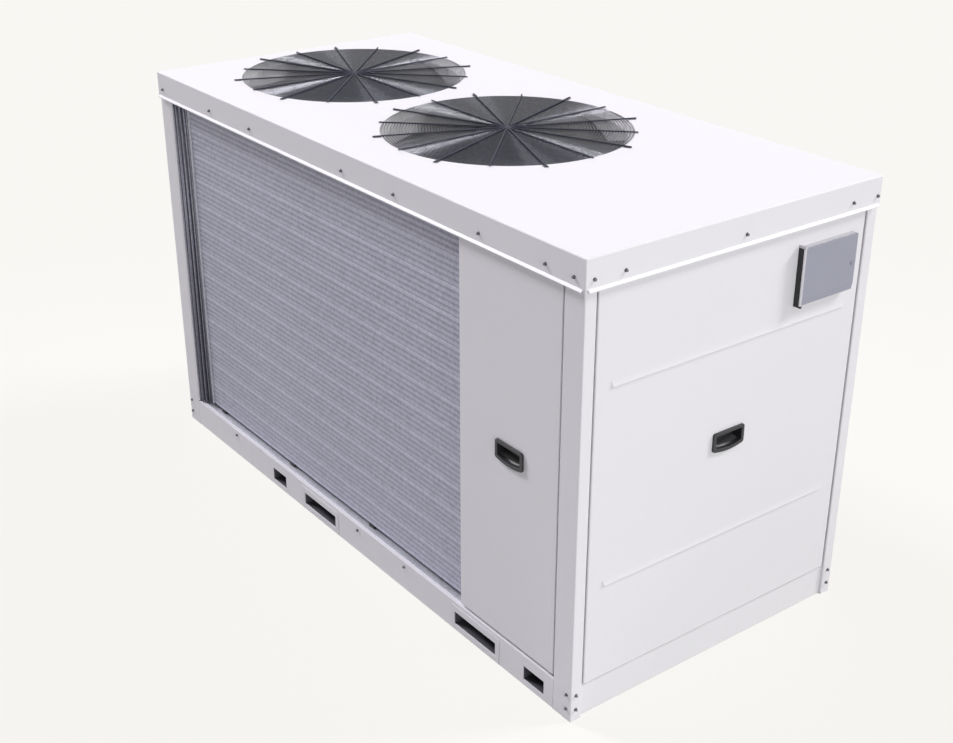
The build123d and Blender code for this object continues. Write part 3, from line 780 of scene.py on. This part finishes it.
def screw_set():
    """Screws on every point of a mesh, each facing along the point's outward vector."""
    recipe = Recipe("screw_set", {"Size": SCREW_SIZE, "Seed": SCREW_SEED})
    values = recipe.values
    outward = values.node(
        "GeometryNodeInputNamedAttribute", {"data_type": "FLOAT_VECTOR"}, {"Name": "outward"}
    )
    facing = values.node(
        "FunctionNodeAlignRotationToVector", {"axis": "Z"}, {"Vector": outward}
    )
    spin = values.node(
        "FunctionNodeRandomValue",
        {"data_type": "FLOAT"},
        {2: 0.0, 3: 2 * pi, "Seed": recipe.take("Seed")},
        output=1,
    )
    turned = values.node(
        "FunctionNodeRotateRotation",
        {"rotation_space": "LOCAL"},
        {"Rotation": facing, "Rotate By": xyz(values, 0.0, 0.0, spin)},
    )
    size = recipe.take("Size")
    screws = values.node(
        "GeometryNodeInstanceOnPoints",
        inputs={
            "Points": recipe.take("Geometry"),
            "Instance": hex_screw(values, 1.0),
            "Rotation": turned,
            "Scale": xyz(values, size, size, size),
        },
    )
    return recipe.finish(screws, SHADE_DARKENED_ZINC, smooth=False)


def coil_pack():
    """A fin pack whose outer face swells at every tube row."""
    recipe = Recipe(
        "coil_pack",
        {
            "Length": 1.0,
            "Depth": 1.0,
            "Height": 1.0,
            "Rows": TUBE_ROWS,
            "Ripple": FIN_RIPPLE,
            "Side": 1.0,
        },
    )
    values = recipe.values
    length, depth, height = (recipe.take(label) for label in ("Length", "Depth", "Height"))
    rows = recipe.take("Rows")
    block = values.node(
        "GeometryNodeMeshCube",
        inputs={
            "Size": xyz(values, length, depth, height),
            "Vertices X": 2,
            "Vertices Y": 2,
            "Vertices Z": rows * FACES_PER_ROW + 1,
        },
    )
    place = values.node("GeometryNodeInputPosition")
    y = values.node("ShaderNodeSeparateXYZ", inputs={0: place}, output=1)
    z = values.node("ShaderNodeSeparateXYZ", inputs={0: place}, output=2)
    side = recipe.take("Side")
    row = (z + height / 2) / (height / rows)
    crest = values.math("PINGPONG", row * 2.0, 1.0)
    valley = (1 - crest) * (1 - crest)
    inward = valley * recipe.take("Ripple") * side * (y * side > 0) * -1
    moved = values.node(
        "GeometryNodeSetPosition", inputs={"Geometry": block, "Offset": xyz(values, 0.0, inward)}
    )
    return recipe.finish(moved, FINS, smooth=False)


def return_bends():
    """Tube bends that join the rows of a coil beyond its end plate."""
    recipe = Recipe(
        "return_bends",
        {
            "Pairs": TUBE_ROWS // 2,
            "Columns": BEND_COLUMNS,
            "Pitch": TUBE_PITCH,
            "Spacing": BEND_SPACING,
            "Tube": BEND_TUBE,
            "Stretch": BEND_STRETCH,
        },
    )
    values = recipe.values
    pitch = recipe.take("Pitch")
    columns = recipe.take("Columns")
    index = values.node("GeometryNodeInputIndex")
    column = index % columns
    pair = values.math("FLOOR", index / columns)
    shift = column % 2
    spot = xyz(
        values,
        0.0,
        (column - (columns - 1) / 2) * recipe.take("Spacing"),
        (pair * 2 + 1 + shift) * pitch,
    )
    spots = values.node(
        "GeometryNodePoints",
        inputs={"Count": recipe.take("Pairs") * columns - 1, "Position": spot},
    )
    arc = values.node(
        "GeometryNodeCurveArc",
        inputs={
            "Resolution": BEND_STEPS,
            "Radius": pitch / 2,
            "Start Angle": pi / 2,
            "Sweep Angle": pi,
        },
    )
    upright = values.node(
        "GeometryNodeTransform",
        inputs={
            "Geometry": arc,
            "Rotation": (pi / 2, 0, 0),
            "Scale": xyz(values, recipe.take("Stretch"), 1.0, 1.0),
        },
    )
    bend = wire_along(values, upright, recipe.take("Tube") / 2, WIRE_SIDES)
    bends = values.node(
        "GeometryNodeInstanceOnPoints", inputs={"Points": spots, "Instance": bend}
    )
    return recipe.finish(bends, TUBES)


def upright_pipes():
    """Pipes that stand on every point of a mesh, as thick as its girth says."""
    recipe = Recipe("upright_pipes", {"Height": PIPE_HEIGHT})
    values = recipe.values
    height = recipe.take("Height")
    girth = values.node(
        "GeometryNodeInputNamedAttribute", {"data_type": "FLOAT"}, {"Name": "girth"}
    )
    pipe = values.node(
        "GeometryNodeMeshCylinder", inputs={"Vertices": PIPE_SIDES, "Radius": 0.5, "Depth": 1.0}
    )
    pipes = values.node(
        "GeometryNodeInstanceOnPoints",
        inputs={
            "Points": recipe.take("Geometry"),
            "Instance": shifted(values, pipe, (0, 0, 0.5)),
            "Scale": xyz(values, girth, girth, height),
        },
    )
    return recipe.finish(pipes, TUBES)


def pipe_spots(name, side):
    """Where the pipes of one coil stand, at the level of the base rail's top."""
    mesh = bpy.data.meshes.new(name)
    feet = []
    for away, behind, _ in PIPES:
        x = LEFT_POST_HIGH.x + away * MM
        y = side * (-POST_LOW.y - behind * MM)
        feet.append((x, y, RAIL_HIGH.z))
    mesh.from_pydata(feet, [], [])
    girth = mesh.attributes.new("girth", "FLOAT", "POINT")
    girth.data.foreach_set("value", [thick * MM for _, _, thick in PIPES])
    return mesh


def key_rows():
    """Round keys in rows on the controller's plate."""
    recipe = Recipe(
        "key_rows",
        {"Across": KEYS_ACROSS, "Up": KEYS_UP, "Spacing": KEY_SPACING, "Key": KEY_RADIUS},
    )
    values = recipe.values
    across, up, spacing = (recipe.take(label) for label in ("Across", "Up", "Spacing"))
    index = values.node("GeometryNodeInputIndex")
    row = values.math("FLOOR", index / across)
    spot = xyz(
        values,
        0.0,
        ((index % across) - (across - 1) / 2) * spacing,
        (row - (up - 1) / 2) * spacing,
    )
    spots = values.node("GeometryNodePoints", inputs={"Count": across * up, "Position": spot})
    key = values.node(
        "GeometryNodeMeshCylinder",
        inputs={"Vertices": KEY_SIDES, "Radius": recipe.take("Key"), "Depth": KEY_DEPTH},
    )
    keys = values.node(
        "GeometryNodeInstanceOnPoints",
        inputs={"Points": spots, "Instance": shifted(values, key, (0, 0, 0), (0, pi / 2, 0))},
    )
    return recipe.finish(keys, GREY, smooth=False)


def spots_mesh(name, places):
    """A mesh of loose points, each with the way its screw faces."""
    mesh = bpy.data.meshes.new(name)
    mesh.from_pydata([point for point, _ in places], [], [])
    outward = mesh.attributes.new("outward", "FLOAT_VECTOR", "POINT")
    outward.data.foreach_set("vector", [part for _, facing in places for part in facing])
    return mesh


def skirt_screws():
    """Screws along the roof's skirt, on all four sides."""
    places = []
    half_x = MIDDLE_X - SKIRT_X
    for sign in (-1, 1):
        for x in SKIRT_SCREWS_LONG:
            places.append(((MIDDLE_X + x * MM, sign * -SKIRT_Y, SKIRT_SCREW_Z), (0, sign, 0)))
        for y in SKIRT_SCREWS_END:
            places.append(((MIDDLE_X + sign * half_x, y * MM, SKIRT_SCREW_Z), (sign, 0, 0)))
    return places


def frame_screws():
    """Screws on the base rails and at the feet of the corner posts."""
    places = []
    half_x = POST_HIGH.x - MIDDLE_X
    for sign in (-1, 1):
        for x in RAIL_SCREWS:
            places.append(((MIDDLE_X + x * MM, sign * -RAIL_LOW.y, RAIL_SCREW_Z), (0, sign, 0)))
        for end in (-1, 1):
            for height in FOOT_SCREW_HEIGHTS:
                x = MIDDLE_X + end * (half_x - FOOT_SCREW_IN)
                places.append(((x, sign * -POST_LOW.y, height), (0, sign, 0)))
                y = sign * (-POST_LOW.y - FOOT_SCREW_IN)
                places.append(((MIDDLE_X + end * half_x, y, height), (end, 0, 0)))
    return places


rings = guard_rings()
rods = guard_rods()
feet = guard_feet()
for side in SIDES:
    low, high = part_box(f"fan_guard_{side}")
    middle = (low + high) / 2
    rod_level = high.z - GUARD_ROD_WIRE / 2
    ring_level = rod_level - (GUARD_ROD_WIRE + GUARD_RING_WIRE) / 2
    ring_piece = rings.bake(f"guard_rings_{side}", at=(middle.x, 0, ring_level))
    stand_in(ring_piece, "cabinet", RING_WIRE, "black_wire", f"fan_guard_{side}")
    rod_piece = rods.bake(f"guard_rods_{side}", at=(middle.x, 0, rod_level))
    stand_in(rod_piece, "cabinet", ROD_WIRE, "black_wire")
    feet_piece = feet.bake(f"guard_feet_{side}", at=(middle.x, 0, ROOF_HIGH.z))
    stand_in(feet_piece, "cabinet", SHADE_DARKENED_ZINC, "galvanised_steel")

screws = screw_set()
for name, places in (("skirt_screws", skirt_screws()), ("frame_screws", frame_screws())):
    piece = screws.bake(name, start=spots_mesh(f"{name}_spots", places))
    stand_in(piece, "cabinet", SHADE_DARKENED_ZINC, "galvanised_steel")

pack = coil_pack()
bends = return_bends()
pipes = upright_pipes()
for depth_name in DEPTHS:
    low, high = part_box(f"{depth_name}_coil")
    size = high - low
    side = -1.0 if depth_name == "front" else 1.0
    coil = pack.bake(
        f"{depth_name}_coil_fins",
        at=(low + high) / 2,
        length=size.x,
        depth=size.y,
        height=size.z,
        side=side,
    )
    stand_in(coil, "cabinet", FINS, "fin_aluminium", f"{depth_name}_coil")
    plates_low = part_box(f"{depth_name}_coil_end_plates")[0]
    tubes = bends.bake(
        f"{depth_name}_return_bends", at=(plates_low.x, (low.y + high.y) / 2, low.z)
    )
    stand_in(tubes, "cabinet", TUBES, "fin_aluminium")
    headers = pipes.bake(
        f"{depth_name}_header_pipes", start=pipe_spots(f"{depth_name}_pipe_spots", side)
    )
    stand_in(headers, "cabinet", TUBES, "fin_aluminium")

keys = key_rows().bake(
    "controller_keys", at=(KEYPAD_HIGH.x, KEYPAD_MIDDLE.y, KEYPAD_MIDDLE.z - OFF_MIDDLE)
)
stand_in(keys, "cabinet", GREY, "grey_plastic")


def display_window():
    """A blank display with a rounded bezel on the controller's plate."""
    depth = DISPLAY_SIZE[0]
    work = bmesh.new()
    bmesh.ops.create_cube(work, size=1.0)
    bmesh.ops.scale(work, vec=DISPLAY_SIZE, verts=work.verts)
    edges = [e for e in work.edges if abs((e.verts[0].co - e.verts[1].co).x) > depth / 2]
    bmesh.ops.bevel(
        work,
        geom=edges,
        offset=DISPLAY_CORNER,
        segments=DISPLAY_CORNER_STEPS,
        affect="EDGES",
    )
    front = [face for face in work.faces if face.normal.x > FACING]
    bmesh.ops.inset_region(work, faces=front, thickness=DISPLAY_BEZEL, depth=-DISPLAY_RECESS)
    offset = Vector((KEYPAD_HIGH.x + depth / 2, KEYPAD_MIDDLE.y, KEYPAD_MIDDLE.z + OFF_MIDDLE))
    bmesh.ops.translate(work, vec=offset, verts=work.verts)
    mesh = bpy.data.meshes.new("display_window")
    work.to_mesh(mesh)
    work.free()
    piece = bpy.data.objects.new("display_window", mesh)
    bpy.context.scene.collection.objects.link(piece)
    return piece


stand_in(display_window(), "cabinet", SCREEN, "black_plastic")


# Studio

BACKGROUND = (0.947, 0.930, 0.896)
AMBIENT = 0.08
AMBIENT_TONE = (0.97, 0.965, 1.0)
WHITE = (1.0, 1.0, 1.0)
COOL = (0.960, 0.935, 1.0)
FLOOR_REACH = 40.0
FLOOR_TINT = 0.53
SHADOW_SHARE = 0.12
FADE_START = 1.6
FADE_END = 4.2

# Each lamp's name, the way its light travels, its light on a face that looks at it, where 1 shows
# a colour as it is written, its width in degrees and its tone
LAMPS = (
    ("long_side_key", (0.744, 0.248, -0.62), 0.95, 16.0, COOL),
    ("end_key", (-0.31, -0.72, -0.62), 0.74, 16.0, WHITE),
    ("end_fill", (-0.97, 0.14, -0.2), 0.47, 30.0, WHITE),
)

# The camera, fitted to the cabinet's corners in the photograph
CAMERA_LENS = 53.26
CAMERA_SENSOR = 36.0
CAMERA_REACH = 100.0
CAMERA_PLACE = (3.8085 + MIDDLE_X, -2.8515, 2.796)
CAMERA_BACK = Vector((0.7224, -0.5414, 0.4301))


def seen_directly(values):
    """1 for camera, glossy and transmission rays, 0 for the others."""
    camera_ray, glossy_ray, transmission_ray = (
        values.node("ShaderNodeLightPath", output=f"Is {kind} Ray")
        for kind in ("Camera", "Glossy", "Transmission")
    )
    return values.math("MINIMUM", camera_ray + glossy_ray + transmission_ray, 1.0)


def studio_world():
    """Plain ambient light, with the pale background seen by camera and glossy rays."""
    world = bpy.data.worlds.new("studio")
    bpy.context.scene.world = world
    world.use_nodes = True
    tree = world.node_tree
    tree.nodes.clear()
    values = Value(tree)
    ambient = values.node(
        "ShaderNodeBackground", inputs={"Color": (*AMBIENT_TONE, 1), "Strength": AMBIENT}
    )
    pale = values.node(
        "ShaderNodeBackground", inputs={"Color": (*BACKGROUND, 1), "Strength": 1.0}
    )
    mixed = values.node(
        "ShaderNodeMixShader", inputs={0: seen_directly(values), 1: ambient, 2: pale}
    )
    values.node("ShaderNodeOutputWorld", inputs={"Surface": mixed})


def studio_floor():
    """A pale floor that keeps a soft shadow near the unit and fades out around it."""
    bpy.ops.mesh.primitive_plane_add(size=FLOOR_REACH)
    floor = bpy.context.object
    floor.name = "studio_floor"
    material = bpy.data.materials.new("studio_floor")
    material.use_nodes = True
    tree = material.node_tree
    tree.nodes.clear()
    values = Value(tree)
    place = place_on_object(values)
    distance = values.node("ShaderNodeVectorMath", {"operation": "LENGTH"}, {0: place}, output=1)
    near = values.node(
        "ShaderNodeMapRange",
        {"interpolation_type": "SMOOTHSTEP"},
        {
            "Value": distance,
            "From Min": FADE_START,
            "From Max": FADE_END,
            "To Min": 1.0,
            "To Max": 0.0,
        },
    )
    grey = (FLOOR_TINT, FLOOR_TINT, FLOOR_TINT, 1)
    bounce = values.node("ShaderNodeBsdfDiffuse", inputs={"Color": grey})
    matt = values.node("ShaderNodeBsdfDiffuse", inputs={"Color": (*BACKGROUND, 1)})
    glow = values.node("ShaderNodeEmission", inputs={"Color": (*BACKGROUND, 1), "Strength": 1.0})
    shown = values.node(
        "ShaderNodeMixShader", inputs={0: near * SHADOW_SHARE, 1: glow, 2: matt}
    )
    mixed = values.node(
        "ShaderNodeMixShader", inputs={0: seen_directly(values), 1: bounce, 2: shown}
    )
    values.node("ShaderNodeOutputMaterial", inputs={"Surface": mixed})
    floor.data.materials.append(material)
    floor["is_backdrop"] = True


def sun(name, travel, strength, width, tone):
    """A soft distant lamp whose light travels along a direction."""
    lamp = bpy.data.lights.new(name, "SUN")
    lamp.energy = strength * pi
    lamp.color = tone
    lamp.angle = radians(width)
    holder = bpy.data.objects.new(name, lamp)
    holder.rotation_mode = "QUATERNION"
    holder.rotation_quaternion = Vector(travel).to_track_quat("-Z", "Y")
    bpy.context.scene.collection.objects.link(holder)


def camera():
    """The camera, at the photograph's angle and distance."""
    lens = bpy.data.cameras.new("camera")
    lens.lens = CAMERA_LENS
    lens.sensor_width = CAMERA_SENSOR
    lens.clip_end = CAMERA_REACH
    holder = bpy.data.objects.new("camera", lens)
    holder.location = CAMERA_PLACE
    holder.rotation_mode = "QUATERNION"
    holder.rotation_quaternion = (-CAMERA_BACK).to_track_quat("-Z", "Y")
    bpy.context.scene.collection.objects.link(holder)
    bpy.context.scene.camera = holder


studio_world()
studio_floor()
for lamp in LAMPS:
    sun(*lamp)
camera()
bpy.context.scene.view_settings.view_transform = "Standard"

low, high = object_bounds()
